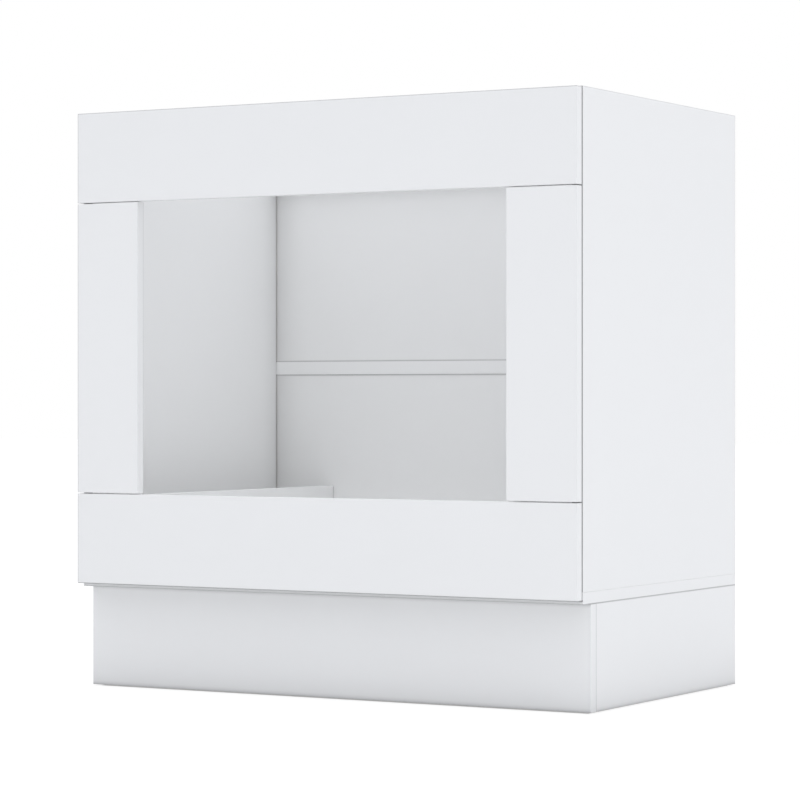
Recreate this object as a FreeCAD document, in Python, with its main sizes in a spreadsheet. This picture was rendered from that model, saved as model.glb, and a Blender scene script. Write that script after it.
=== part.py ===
import FreeCAD, Part
import math
import os
import Sketcher

# Oven base cabinet, in millimetres: X runs to the right as seen from the front,
# Y runs from the front to the back and Z runs up from the floor.

Vector = FreeCAD.Vector
right = Vector(1, 0, 0)
back = Vector(0, 1, 0)
up = Vector(0, 0, 1)
sides = (("left", -1), ("right", 1))
ends = (("front", -1), ("rear", 1))

doc = FreeCAD.newDocument("oven_base_cabinet")
sizes = doc.addObject("Spreadsheet::Sheet", "sizes")
layout = doc.addObject("Spreadsheet::Sheet", "layout")

# Driving sizes.
driving = {
    "carcass_width": 800,  # outside width over the two sides
    "carcass_depth": 490,  # depth of sides and base panel
    "unit_height": 822,  # floor to the top edge of the sides
    "plinth_height": 145,  # floor to the underside of the base panel
    "plinth_floor_gap": 2,  # floor to the lower edge of the plinth boards
    "plinth_setback": 23,  # plinth front behind the carcass front edge
    "plinth_thickness": 16,  # plinth boards
    "board_thickness": 16,  # carcass boards
    "bearer_thickness": 16,  # upright boards that carry the oven
    "edge_radius": 0.6,  # rounding of the board edges
    "top_rail_height": 80,  # upright rails across the top
    "front_thickness": 15,  # front panels and fillers
    "front_standoff": 1,  # gap between the fronts and the carcass
    "front_side_reveal": 1,  # fronts inside the carcass sides
    "front_top_reveal": 1,  # fronts below the top of the carcass
    "front_foot_reveal": 5,  # fronts above the underside of the base
    "front_joint_gap": 1.5,  # gap between a panel and a filler
    "front_panel_height": 128,  # upper and lower front panels
    "filler_width": 104,  # fillers beside the oven opening
    "back_thickness": 3,  # hardboard back panels
    "back_margin": 2,  # back panels inside the carcass outline
    "strip_wall": 1.5,  # walls of the strip that joins the backs
    "strip_face": 20,  # height of the strip's two flanges
    "strip_centre": 461,  # height of the strip above the floor
    "strip_inset": 4,  # ends of the strip from the ends of the backs
    "clear_fit": 0.2,  # room on the diameter of a fitting's hole
    "end_room": 0.5,  # room past the end of a fitting in its hole
    "fixing_margin": 60,  # first and last fixing from a board's end
    "dowel_diameter": 8,  # wooden dowels
    "dowel_length": 30,  # wooden dowels
    "dowel_chamfer": 1,  # wooden dowels, at both ends
    "dowel_cover": 5,  # board left behind a dowel in its face
    "dowel_edge": 16,  # rail dowels from the rail's edges
    "plinth_dowel_inset": 30,  # plinth dowels from the boards' edges
    "carcass_screw_length": 50,  # screws up through the base panel
    "carcass_screw_head": 10,  # head diameter
    "carcass_screw_sink": 4,  # head depth
    "carcass_screw_shank": 7,  # plain shank diameter
    "carcass_screw_core": 5,  # threaded part
    "base_screw_spacing": 200,  # most room between two carcass screws
    "wood_screw_head": 8,  # head diameter
    "wood_screw_sink": 2.4,  # head depth
    "wood_screw_shank": 4,  # shank diameter
    "screw_bite": 10,  # countersunk screws in the second board
    "panel_screw_spacing": 200,  # most room between the upper panel's screws
    "screw_tip": 3,  # length of a screw's point
    "drive_rim": 1.6,  # head left around a screw's cross recess
    "drive_width": 1.1,  # arms of a screw's cross recess
    "drive_depth": 1.3,  # depth of a screw's cross recess
    "cam_diameter": 15,  # cam hole in a top rail
    "cam_cover": 4,  # rail left behind a cam
    "cam_distance": 24,  # cam centre from the rail's end
    "cam_slot_width": 1.6,  # driver slot of a cam
    "cam_slot_depth": 2,  # driver slot of a cam
    "bolt_thread": 5,  # cam bolt, threaded end
    "bolt_cover": 5,  # side left behind a cam bolt
    "bolt_shank": 6,  # cam bolt, plain shank
    "bolt_neck": 4,  # cam bolt, neck under its head
    "bolt_neck_length": 4,  # cam bolt, neck under its head
    "bolt_head": 6.5,  # cam bolt, head diameter
    "bolt_head_length": 3,  # cam bolt, head length
    "bracket_leg": 30,  # angle brackets behind the fronts
    "bracket_width": 16,  # angle brackets
    "bracket_wall": 2,  # angle brackets
    "bracket_end": 10,  # screw hole from the end of a leg
    "bracket_spread": 200,  # middle brackets either side of the centre
    "small_screw_length": 13,  # screws of the angle brackets
    "small_screw_head": 7,  # head diameter
    "small_screw_rise": 2,  # head height
    "small_screw_shank": 3.5,  # shank diameter
    "nail_length": 20,  # nails of the back panels
    "nail_head": 4,  # head diameter
    "nail_rise": 0.8,  # head height
    "nail_shank": 1.4,  # shank diameter
    "nail_spacing": 110,  # most room between two nails
    "pad_room": 3,  # corner block around the foot's pad
    "pad_diameter": 34,  # levelling foot, pad on the floor
    "pad_height": 8,  # levelling foot, pad
    "pad_rim": 5,  # levelling foot, height of the pad's rim
    "pad_edge": 1.5,  # levelling foot, chamfer of the pad's rim
    "pad_boss": 18,  # levelling foot, top of the pad
    "socket_depth": 4,  # socket in the pad for the foot screw
    "foot_play": 0.3,  # running room around a foot screw
    "stud_diameter": 8,  # foot screw
    "stud_length": 44,  # foot screw above its collar
    "collar_lip": 2.5,  # hexagon collar around the foot screw
    "collar_height": 4.5,  # hexagon collar
    "collar_room": 1.2,  # collar to the block when screwed right in
    "insert_wall": 1.7,  # threaded insert in a corner block
    "insert_length": 15,  # threaded insert in a corner block
    "worktop_bracket_inset": 120,  # worktop brackets from the ends of a side
}

# Places and sizes that follow from them.
worked_out = {
    "half_width": "=sizes.carcass_width / 2",  # outer face of a side
    "inner_half": "=half_width - sizes.board_thickness",  # inner face of a side
    "total_depth": "=sizes.front_thickness + sizes.front_standoff + sizes.carcass_depth"
        " + sizes.back_thickness + 2 * sizes.strip_wall",  # over everything
    "front_face": "=-total_depth / 2",  # face of the front panels
    "front_rear": "=front_face + sizes.front_thickness",  # rear of the front panels
    "carcass_front": "=front_rear + sizes.front_standoff",  # front edge of the sides
    "carcass_rear": "=carcass_front + sizes.carcass_depth",  # rear edge of the sides
    "back_face": "=carcass_rear + sizes.strip_wall",  # inner face of the backs
    "back_rear": "=back_face + sizes.back_thickness",  # outer face of the backs
    "rear_face": "=back_rear + sizes.strip_wall",  # rear of the joining strip
    "base_top": "=sizes.plinth_height + sizes.board_thickness",  # top of the base
    "rail_foot": "=sizes.unit_height - sizes.top_rail_height",  # lower edge of the top rails
    "front_rail_rear": "=carcass_front + sizes.board_thickness",  # rear of the front rail
    "rear_rail_front": "=carcass_rear - sizes.board_thickness",  # front of the rear rail
    "front_half": "=half_width - sizes.front_side_reveal",  # ends of the fronts
    "front_top": "=sizes.unit_height - sizes.front_top_reveal",  # top of the fronts
    "front_foot": "=sizes.plinth_height + sizes.front_foot_reveal",  # foot of the fronts
    "upper_panel_foot": "=front_top - sizes.front_panel_height",  # upper front panel
    "lower_panel_top": "=front_foot + sizes.front_panel_height",  # lower front panel
    "filler_top": "=upper_panel_foot - sizes.front_joint_gap",  # top of the fillers
    "filler_foot": "=lower_panel_top + sizes.front_joint_gap",  # foot of the fillers
    "opening_half": "=front_half - sizes.filler_width",  # inner edge of a filler
    "bearer_inner": "=opening_half - sizes.bearer_thickness",  # inner face of a bearer
    "back_half": "=half_width - sizes.back_margin",  # ends of the backs
    "back_foot": "=sizes.plinth_height + sizes.back_margin",  # foot of the lower back
    "back_top": "=sizes.unit_height - sizes.back_margin",  # top of the upper back
    "strip_low": "=sizes.strip_centre - sizes.strip_wall / 2",  # top of the lower back
    "strip_high": "=sizes.strip_centre + sizes.strip_wall / 2",  # foot of the upper back
    "plinth_front": "=carcass_front + sizes.plinth_setback",  # face of the plinth
    "plinth_front_rear": "=plinth_front + sizes.plinth_thickness",  # rear of the plinth front
    "plinth_rear_front": "=carcass_rear - sizes.plinth_thickness",  # front of the plinth rear
    "plinth_inner": "=half_width - sizes.plinth_thickness",  # inner face of a plinth side
    "plinth_middle": "=sizes.plinth_thickness / 2",  # faces of the middle plinth board
    "block_side": "=sizes.pad_diameter + 2 * sizes.pad_room",  # corner blocks of the plinth
    "wood_screw_length": "=block_side + sizes.screw_bite",  # screws of the plinth
    "panel_screw_length": "=sizes.board_thickness + sizes.front_standoff"
        " + sizes.screw_bite",  # screws of the upper panel
    "carcass_screw_grip": "=sizes.board_thickness - sizes.end_room",  # end of the plain shank
    "cam_height": "=sizes.board_thickness - sizes.cam_cover",  # cam body
    "bolt_thread_length": "=sizes.board_thickness - sizes.bolt_cover",  # cam bolt in the side
    "bracket_reach": "=sizes.bracket_leg - sizes.bracket_end",  # screw hole from the corner
    "collar_across": "=sizes.stud_diameter + 2 * sizes.collar_lip",  # collar across flats
    "insert_diameter": "=sizes.stud_diameter + 2 * sizes.foot_play"
        " + 2 * sizes.insert_wall",  # insert's outside
    "collar_foot": "=sizes.pad_height + sizes.foot_play",  # under the foot screw's collar
    "collar_top": "=collar_foot + sizes.collar_height",  # top of the foot screw's collar
    "block_foot": "=collar_top + sizes.collar_room",  # underside of a corner block
    "foot_x": "=plinth_inner - block_side / 2",  # feet from the middle
    "foot_front": "=plinth_front_rear + block_side / 2",  # front feet
    "foot_rear": "=plinth_rear_front - block_side / 2",  # rear feet
}


def fill(sheet, rows):
    for number, (alias, content) in enumerate(rows.items(), 1):
        sheet.set(f"A{number}", alias)
        sheet.set(f"B{number}", str(content))
        sheet.setAlias(f"B{number}", alias)
    doc.recompute()


fill(sizes, driving)
fill(layout, worked_out)


def size(alias):
    return float(sizes.get(alias))


def spot(alias):
    return float(layout.get(alias))


# Sketched fittings, each made once in its own place.


def sketch_on(body, role):
    sketch = body.newObject("Sketcher::SketchObject", f"{body.Name}_sketch")
    plane = next(item for item in body.Origin.OriginFeatures if item.Role == role)
    sketch.AttachmentSupport = [(plane, "")]
    sketch.MapMode = "FlatFace"
    return sketch


def outline(sketch, corners):
    # A closed outline whose corners are held by expressions, (across, up) from the origin.
    places = []
    for across, rise in corners:
        places.append(Vector(layout.evalExpression(across), layout.evalExpression(rise), 0))
    count = len(corners)
    first = sketch.GeometryCount
    for index in range(count):
        sketch.addGeometry(Part.LineSegment(places[index], places[(index + 1) % count]))
    for index in range(count):
        following = first + (index + 1) % count
        sketch.addConstraint(Sketcher.Constraint("Coincident", first + index, 2, following, 1))
    for index, texts in enumerate(corners):
        for kind, text, value in zip(("DistanceX", "DistanceY"), texts, places[index]):
            rule = Sketcher.Constraint(kind, -1, 1, first + index, 1, value)
            sketch.setExpression(f"Constraints[{sketch.addConstraint(rule)}]", text)


def turned(name, corners):
    # A body turned about its own upright axis; corners are (radius, height).
    body = doc.addObject("PartDesign::Body", name)
    sketch = sketch_on(body, "XZ_Plane")
    outline(sketch, corners)
    turn = body.newObject("PartDesign::Revolution", f"{name}_turn")
    turn.Profile = sketch
    turn.ReferenceAxis = (sketch, ["V_Axis"])
    turn.Angle = 360
    return body


def padded(body, role, corners, length, midplane):
    sketch = sketch_on(body, role)
    outline(sketch, corners)
    pad = body.newObject("PartDesign::Pad", f"{body.Name}_pad")
    pad.Profile = sketch
    pad.setExpression("Length", length)
    pad.Midplane = midplane
    return pad


def pocketed(body, role, corners, length, midplane):
    sketch = sketch_on(body, role)
    outline(sketch, corners)
    pocket = body.newObject("PartDesign::Pocket", f"{body.Name}_pocket")
    pocket.Profile = sketch
    pocket.setExpression("Length", length)
    pocket.Midplane = midplane
    return pocket


def rectangle(left, low, far, high):
    return [(left, low), (far, low), (far, high), (left, high)]


def crossed(body, face, reach, width, depth):
    # Two crossing slots for a driver, cut upwards from the face at the given height.
    for role in ("XZ_Plane", "YZ_Plane"):
        pocketed(body, role, rectangle(
            f"-({reach})", f"{face} - {depth}", reach, f"{face} + {depth}",
        ), width, True)
    return body


def with_recess(body, face, head):
    return crossed(body, face, f"{head} / 2 - sizes.drive_rim", "sizes.drive_width", "sizes.drive_depth")


def make_dowel():
    radius = "sizes.dowel_diameter / 2"
    nose = "sizes.dowel_diameter / 2 - sizes.dowel_chamfer"
    return turned("dowel", [
        ("0", "0"),
        (nose, "0"),
        (radius, "sizes.dowel_chamfer"),
        (radius, "sizes.dowel_length - sizes.dowel_chamfer"),
        (nose, "sizes.dowel_length"),
        ("0", "sizes.dowel_length"),
    ])


def make_carcass_screw():
    shank = "sizes.carcass_screw_shank / 2"
    core = "sizes.carcass_screw_core / 2"
    body = turned("carcass_screw", [
        ("0", "0"),
        ("sizes.carcass_screw_head / 2", "0"),
        (shank, "sizes.carcass_screw_sink"),
        (shank, "layout.carcass_screw_grip"),
        (core, "layout.carcass_screw_grip"),
        (core, "sizes.carcass_screw_length - sizes.screw_tip"),
        ("0", "sizes.carcass_screw_length"),
    ])
    return with_recess(body, "0", "sizes.carcass_screw_head")


def make_sunk_screw(name):
    shank = "sizes.wood_screw_shank / 2"
    body = turned(name, [
        ("0", "0"),
        ("sizes.wood_screw_head / 2", "0"),
        (shank, "sizes.wood_screw_sink"),
        (shank, f"layout.{name}_length - sizes.screw_tip"),
        ("0", f"layout.{name}_length"),
    ])
    return with_recess(body, "0", "sizes.wood_screw_head")


def make_small_screw():
    # The head stands on the bracket at height 0 and the shank runs up from it.
    shank = "sizes.small_screw_shank / 2"
    body = turned("small_screw", [
        ("0", "-sizes.small_screw_rise"),
        ("sizes.small_screw_head / 2 - sizes.small_screw_rise / 2", "-sizes.small_screw_rise"),
        ("sizes.small_screw_head / 2", "-sizes.small_screw_rise / 2"),
        ("sizes.small_screw_head / 2", "0"),
        (shank, "0"),
        (shank, "sizes.small_screw_length - sizes.screw_tip"),
        ("0", "sizes.small_screw_length"),
    ])
    return with_recess(body, "-sizes.small_screw_rise", "sizes.small_screw_head")


def make_nail():
    shank = "sizes.nail_shank / 2"
    return turned("nail", [
        ("0", "-sizes.nail_rise"),
        ("sizes.nail_head / 2", "-sizes.nail_rise"),
        ("sizes.nail_head / 2", "0"),
        (shank, "0"),
        (shank, "sizes.nail_length - sizes.nail_shank"),
        ("0", "sizes.nail_length"),
    ])


def make_cam_bolt():
    # Height 0 is the face of the side; the threaded end is below it, in the side.
    head_end = "sizes.cam_distance + sizes.bolt_head_length / 2"
    head_start = "sizes.cam_distance - sizes.bolt_head_length / 2"
    neck_start = head_start + " - sizes.bolt_neck_length"
    return turned("cam_bolt", [
        ("0", "-layout.bolt_thread_length"),
        ("sizes.bolt_thread / 2", "-layout.bolt_thread_length"),
        ("sizes.bolt_thread / 2", "0"),
        ("sizes.bolt_shank / 2", "0"),
        ("sizes.bolt_shank / 2", neck_start),
        ("sizes.bolt_neck / 2", neck_start),
        ("sizes.bolt_neck / 2", head_start),
        ("sizes.bolt_head / 2", head_start),
        ("sizes.bolt_head / 2", head_end),
        ("0", head_end),
    ])


def make_cam():
    # The driver slot is in the foot face, and the mouth for the bolt's head opens along +X.
    radius = "sizes.cam_diameter / 2 - sizes.clear_fit / 2"
    mouth = "sizes.bolt_head / 2 + sizes.clear_fit"
    middle = "sizes.board_thickness / 2"
    body = turned("cam", [
        ("0", "0"),
        (radius, "0"),
        (radius, "layout.cam_height"),
        ("0", "layout.cam_height"),
    ])
    reach = "sizes.bolt_head_length / 2 + sizes.clear_fit"
    pocketed(body, "XZ_Plane", rectangle(
        f"-({reach})", f"{middle} - ({mouth})", "sizes.cam_diameter", f"{middle} + {mouth}",
    ), f"2 * ({mouth})", True)
    return crossed(body, "0", "sizes.cam_diameter / 4", "sizes.cam_slot_width", "sizes.cam_slot_depth")


def make_bracket():
    # The corner is at the origin, one leg lies along X and the other along Y.
    body = doc.addObject("PartDesign::Body", "bracket")
    padded(body, "XY_Plane", [
        ("0", "0"),
        ("sizes.bracket_leg", "0"),
        ("sizes.bracket_leg", "sizes.bracket_wall"),
        ("sizes.bracket_wall", "sizes.bracket_wall"),
        ("sizes.bracket_wall", "sizes.bracket_leg"),
        ("0", "sizes.bracket_leg"),
    ], "sizes.bracket_width", True)
    for role in ("XZ_Plane", "YZ_Plane"):
        sketch = sketch_on(body, role)
        hole = Part.Circle(Vector(spot("bracket_reach"), 0, 0), up, size("small_screw_shank") / 2)
        sketch.addGeometry(hole)
        rules = (
            (Sketcher.Constraint("DistanceX", -1, 1, 0, 3, spot("bracket_reach")), "layout.bracket_reach"),
            (Sketcher.Constraint("DistanceY", -1, 1, 0, 3, 0), "0"),
            (Sketcher.Constraint("Diameter", 0, size("small_screw_shank")),
             "sizes.small_screw_shank + 2 * sizes.clear_fit"),
        )
        for rule, text in rules:
            sketch.setExpression(f"Constraints[{sketch.addConstraint(rule)}]", text)
        pocket = body.newObject("PartDesign::Pocket", "bracket_hole")
        pocket.Profile = sketch
        pocket.setExpression("Length", "4 * sizes.bracket_wall")
        pocket.Midplane = True
    return body


def make_insert():
    inner = "sizes.stud_diameter / 2 + sizes.foot_play"
    outer = "layout.insert_diameter / 2"
    return turned("insert", rectangle(inner, "0", outer, "sizes.insert_length"))


def make_foot_pad():
    socket = "sizes.stud_diameter / 2 + sizes.foot_play"
    rim = "sizes.pad_diameter / 2"
    return turned("foot_pad", [
        ("0", "0"),
        (rim + " - sizes.pad_edge", "0"),
        (rim, "sizes.pad_edge"),
        (rim, "sizes.pad_rim"),
        ("sizes.pad_boss / 2", "sizes.pad_height"),
        (socket, "sizes.pad_height"),
        (socket, "sizes.pad_height - sizes.socket_depth"),
        ("0", "sizes.pad_height - sizes.socket_depth"),
    ])


def make_foot_screw():
    radius = "sizes.stud_diameter / 2"
    body = turned("foot_screw", [
        ("0", "sizes.pad_height - sizes.socket_depth + sizes.foot_play"),
        (radius, "sizes.pad_height - sizes.socket_depth + sizes.foot_play"),
        (radius, "layout.collar_top + sizes.stud_length - sizes.screw_tip / 2"),
        (radius + " - sizes.screw_tip / 2", "layout.collar_top + sizes.stud_length"),
        ("0", "layout.collar_top + sizes.stud_length"),
    ])
    corners = []
    for index in range(6):
        angle = 60 * index + 30
        corner = "layout.collar_across / sqrt(3)"
        corners.append((f"{corner} * cos({angle} deg)", f"{corner} * sin({angle} deg)"))
    sketch = sketch_on(body, "XY_Plane")
    sketch.setExpression("AttachmentOffset.Base.z", "layout.collar_foot")
    outline(sketch, corners)
    collar = body.newObject("PartDesign::Pad", "foot_screw_collar")
    collar.Profile = sketch
    collar.setExpression("Length", "sizes.collar_height")
    return body


dowel = make_dowel()
carcass_screw = make_carcass_screw()
wood_screw = make_sunk_screw("wood_screw")
panel_screw = make_sunk_screw("panel_screw")
small_screw = make_small_screw()
nail = make_nail()
cam_bolt = make_cam_bolt()
cam = make_cam()
bracket = make_bracket()
insert = make_insert()
foot_pad = make_foot_pad()
foot_screw = make_foot_screw()
doc.recompute()

# Fittings and the holes they need: each fixing adds both.
holes = {}
groups = {}


def drill(board, start, way, diameter, depth):
    wide = diameter + size("clear_fit")
    holes.setdefault(board, []).append(Part.makeCylinder(wide / 2, depth, start, way))


def place(node, pattern, origin, way, across):
    # The pattern's own Z goes along way, and its X goes along across.
    turn = FreeCAD.Rotation(across, Vector(), way, "ZXY")
    copy = pattern.Shape.copy()
    copy.Placement = FreeCAD.Placement(origin, turn)
    groups.setdefault(node, []).append(copy)


def square_to(way):
    return back if abs(way.x) + abs(way.z) > 0.5 else up


def dowel_joint(node, face_board, thickness, end_board, point, way):
    # The dowel crosses the joint at point, from the face of one board into the end of another.
    in_face = size(thickness) - size("dowel_cover")
    in_end = size("dowel_length") - in_face
    room = size("end_room")
    place(node, dowel, point - way * in_face, way, square_to(way))
    drill(face_board, point, way * -1, size("dowel_diameter"), in_face + room)
    drill(end_board, point, way, size("dowel_diameter"), in_end + room)


def carcass_screw_joint(node, end_board, point, way):
    # The screw goes through the base panel into the end of an upright board.
    thick = size("board_thickness")
    room = size("end_room")
    place(node, carcass_screw, point, way, square_to(way))
    drill("base_panel", point, way, size("carcass_screw_head"), size("carcass_screw_sink"))
    drill("base_panel", point, way, size("carcass_screw_shank"), thick)
    depth = size("carcass_screw_length") - thick
    drill(end_board, point + way * thick, way, size("carcass_screw_core"), depth + room)


def sunk_screw_joint(node, screw, first_board, first_depth, gap, second_board, point, way):
    # The head is sunk in the first board, and the point ends in the second, past any gap.
    length = spot(f"{screw.Name}_length")
    place(node, screw, point, way, square_to(way))
    drill(first_board, point, way, size("wood_screw_head"), size("wood_screw_sink"))
    drill(first_board, point, way, size("wood_screw_shank"), first_depth)
    reach = first_depth + gap
    depth = length - reach + size("end_room")
    drill(second_board, point + way * reach, way, size("wood_screw_shank"), depth)


def small_screw_joint(board, point, way):
    # The screw goes through a bracket's leg that lies on the board at point.
    wall = size("bracket_wall")
    depth = size("small_screw_length") - wall + size("end_room")
    place("bracket_screws", small_screw, point - way * wall, way, square_to(way))
    drill(board, point, way, size("small_screw_shank"), depth)


def bracket_joint(front_board, wall_board, corner, wall_way):
    # One leg lies on the rear of a front; the other lies on a wall whose face looks along wall_way.
    place("front_angle_brackets", bracket, corner, wall_way.cross(back), wall_way)
    reach = spot("bracket_reach")
    small_screw_joint(front_board, corner + wall_way * reach, back * -1)
    small_screw_joint(wall_board, corner + back * reach, wall_way * -1)


def nail_joint(back_board, board, x, z):
    start = Vector(x, spot("back_rear"), z)
    way = back * -1
    gap = spot("back_rear") - spot("carcass_rear")
    place("back_nails", nail, start, way, up)
    drill(back_board, start, way, size("nail_shank"), size("back_thickness"))
    depth = size("nail_length") - gap + size("end_room")
    drill(board, start + way * gap, way, size("nail_shank"), depth)


def spaced(low, high, most):
    count = max(2, math.ceil((high - low) / most) + 1)
    return [low + (high - low) * index / (count - 1) for index in range(count)]


def fix_base():
    # Sides and bearers stand on the base panel.
    margin = size("fixing_margin")
    places = spaced(spot("carcass_front") + margin, spot("carcass_rear") - margin,
                    size("base_screw_spacing"))
    between = [(first + second) / 2 for first, second in zip(places, places[1:])]
    side_x = (spot("half_width") + spot("inner_half")) / 2
    bearer_x = (spot("opening_half") + spot("bearer_inner")) / 2
    for side, sign in sides:
        for board, x in ((f"{side}_side_panel", side_x), (f"{side}_oven_bearer", bearer_x)):
            for y in places:
                under = Vector(sign * x, y, size("plinth_height"))
                carcass_screw_joint("base_screws", board, under, up)
            for y in between:
                point = Vector(sign * x, y, spot("base_top"))
                dowel_joint("base_dowels", "base_panel", "board_thickness", board, point, up)


def fix_top_rails():
    middle_z = (spot("rail_foot") + size("unit_height")) / 2
    half = size("board_thickness") / 2
    rails = (
        ("front", spot("front_rail_rear"), back * -1),
        ("rear", spot("rear_rail_front"), back),
    )
    for end, inner_y, outward in rails:
        rail = f"{end}_top_rail"
        for side, sign in sides:
            side_board = f"{side}_side_panel"
            way = right * -sign
            face = Vector(sign * spot("inner_half"), inner_y, middle_z) + outward * half
            place("rail_cam_bolts", cam_bolt, face, way, up)
            drill(side_board, face, way * -1, size("bolt_thread"),
                  spot("bolt_thread_length") + size("end_room"))
            drill(rail, face, way, max(size("bolt_head"), size("bolt_shank")), size("cam_distance"))
            centre = face + way * size("cam_distance") - outward * half
            place("rail_cams", cam, centre, outward, way * -1)
            drill(rail, centre, outward, size("cam_diameter"), spot("cam_height") + size("end_room"))
            rise = size("top_rail_height") / 2 - size("dowel_edge")
            for offset in (-rise, rise):
                dowel_joint("rail_dowels", side_board, "board_thickness", rail, face + up * offset, way)


def fix_worktop_brackets():
    # One leg hangs down the side, and the free hole of the level leg takes a worktop screw.
    inset = size("worktop_bracket_inset")
    for side, sign in sides:
        inward = right * -sign
        for y in (spot("carcass_front") + inset, spot("carcass_rear") - inset):
            corner = Vector(sign * spot("inner_half"), y, size("unit_height"))
            place("worktop_brackets", bracket, corner, inward.cross(up * -1), inward)
            small_screw_joint(f"{side}_side_panel", corner - up * spot("bracket_reach"), inward * -1)


def fix_fronts():
    # Angle brackets hold the fronts to the sides, base and bearers; screws hold the upper one to its rail.
    y = spot("front_rear")
    margin = size("fixing_margin")
    upper_z = (spot("upper_panel_foot") + spot("rail_foot")) / 2
    lower_z = (spot("base_top") + spot("lower_panel_top")) / 2
    filler_heights = (spot("filler_foot") + margin, spot("filler_top") - margin)
    for side, sign in sides:
        inward = right * -sign
        wall = f"{side}_side_panel"
        x = sign * spot("inner_half")
        bracket_joint("upper_front_panel", wall, Vector(x, y, upper_z), inward)
        bracket_joint("lower_front_panel", wall, Vector(x, y, lower_z), inward)
        for z in filler_heights:
            bracket_joint(f"{side}_front_filler", wall, Vector(x, y, z), inward)
        bearer_face = Vector(sign * spot("opening_half"), y, lower_z)
        bracket_joint("lower_front_panel", f"{side}_oven_bearer", bearer_face, right * sign)
        above = Vector(sign * size("bracket_spread"), y, spot("base_top"))
        bracket_joint("lower_front_panel", "base_panel", above, up)
    screw_z = (spot("rail_foot") + size("unit_height")) / 2
    reach = spot("inner_half") - 2 * margin
    for x in spaced(-reach, reach, size("panel_screw_spacing")):
        point = Vector(x, spot("front_rail_rear"), screw_z)
        sunk_screw_joint("panel_screws", panel_screw, "front_top_rail", size("board_thickness"),
                         size("front_standoff"), "upper_front_panel", point, back * -1)


def fix_backs():
    margin = size("fixing_margin")
    most = size("nail_spacing")
    side_x = (spot("half_width") + spot("inner_half")) / 2
    bearer_x = (spot("opening_half") + spot("bearer_inner")) / 2
    base_z = (size("plinth_height") + spot("base_top")) / 2
    rail_z = (spot("rail_foot") + size("unit_height")) / 2
    clear = size("strip_face")
    lower = spaced(spot("base_top") + clear, spot("strip_low") - clear, most)
    upper = spaced(spot("strip_high") + clear, spot("rail_foot") - clear, most)
    for side, sign in sides:
        for z in lower:
            nail_joint("lower_back_panel", f"{side}_side_panel", sign * side_x, z)
        for z in upper:
            nail_joint("upper_back_panel", f"{side}_side_panel", sign * side_x, z)
        bearer_z = (spot("base_top") + spot("lower_panel_top")) / 2
        nail_joint("lower_back_panel", f"{side}_oven_bearer", sign * bearer_x, bearer_z)
    reach = spot("inner_half") - margin
    for x in spaced(-reach, reach, most):
        nail_joint("lower_back_panel", "base_panel", x, base_z)
        nail_joint("upper_back_panel", "rear_top_rail", x, rail_z)


def fix_plinth():
    inset = size("plinth_dowel_inset")
    thickness = "plinth_thickness"
    side_x = (spot("half_width") + spot("plinth_inner")) / 2
    rear_y = (spot("plinth_rear_front") + spot("carcass_rear")) / 2
    front_y = spot("plinth_front_rear")
    for z in (size("plinth_floor_gap") + inset, size("plinth_height") - inset):
        dowel_joint("plinth_dowels", "plinth_front_board", thickness, "plinth_middle_board",
                    Vector(0, front_y, z), back)
        dowel_joint("plinth_dowels", "plinth_rear_board", thickness, "plinth_middle_board",
                    Vector(0, spot("plinth_rear_front"), z), back * -1)
        for side, sign in sides:
            board = f"plinth_{side}_board"
            dowel_joint("plinth_dowels", "plinth_front_board", thickness, board,
                        Vector(sign * side_x, front_y, z), back)
            dowel_joint("plinth_dowels", board, thickness, "plinth_rear_board",
                        Vector(sign * spot("plinth_inner"), rear_y, z), right * -sign)


def fix_blocks():
    # Each corner block is screwed to two plinth boards and to the base panel above it.
    deep = spot("block_side")
    half = deep / 2
    bore = spot("collar_top") + size("stud_length") - spot("block_foot") + size("end_room")
    bore_top = spot("block_foot") + bore
    step = (spot("base_top") - spot("wood_screw_length") - bore_top) / 5
    for end, way in ends:
        y = spot(f"foot_{end}")
        for side, sign in sides:
            block = f"{end}_{side}_block"
            x = sign * spot("foot_x")
            for turn in (1, 3):
                z = bore_top + turn * step
                point = Vector(x, y - way * half, z)
                sunk_screw_joint("block_screws", wood_screw, block, deep, 0, f"plinth_{end}_board",
                                 point, back * way)
                point = Vector(x - sign * half, y, z + step)
                sunk_screw_joint("block_screws", wood_screw, block, deep, 0, f"plinth_{side}_board",
                                 point, right * sign)
            above = Vector(x, y, spot("base_top"))
            sunk_screw_joint("base_to_plinth_screws", wood_screw, "base_panel",
                             size("board_thickness"), 0, block, above, up * -1)
            under = Vector(x, y, spot("block_foot"))
            place("foot_inserts", insert, under, up, right)
            drill(block, under, up, spot("insert_diameter"), size("insert_length"))
            drill(block, under, up, size("stud_diameter") + 2 * size("foot_play"), bore)


fix_base()
fix_top_rails()
fix_worktop_brackets()
fix_fronts()
fix_backs()
fix_plinth()
fix_blocks()

# Boards: a blank with rounded edges, then its drilled holes.
nodes = []


def blank_box(label, x, y, z):
    box = doc.addObject("Part::Box", f"{label}_blank")
    for length, axis, (low, high) in (("Length", "x", x), ("Width", "y", y), ("Height", "z", z)):
        box.setExpression(length, f"{high} - ({low})")
        box.setExpression(f"Placement.Base.{axis}", low)
    doc.recompute()
    return box


def rounded(label, box):
    # The rounding is held under the board's own thickness.
    thin = min(box.Length.Value, box.Width.Value, box.Height.Value)
    radius = min(size("edge_radius"), thin / 4)
    soft = doc.addObject("Part::Fillet", f"{label}_rounded")
    soft.Base = box
    soft.Edges = [(number, radius, radius) for number in range(1, len(box.Shape.Edges) + 1)]
    return soft


def drilled(label, base):
    if label not in holes:
        return base
    tools = doc.addObject("Part::Feature", f"{label}_holes")
    tools.Shape = Part.makeCompound(holes[label])
    cut = doc.addObject("Part::Cut", f"{label}_drilled")
    cut.Base = base
    cut.Tool = tools
    return cut


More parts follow.
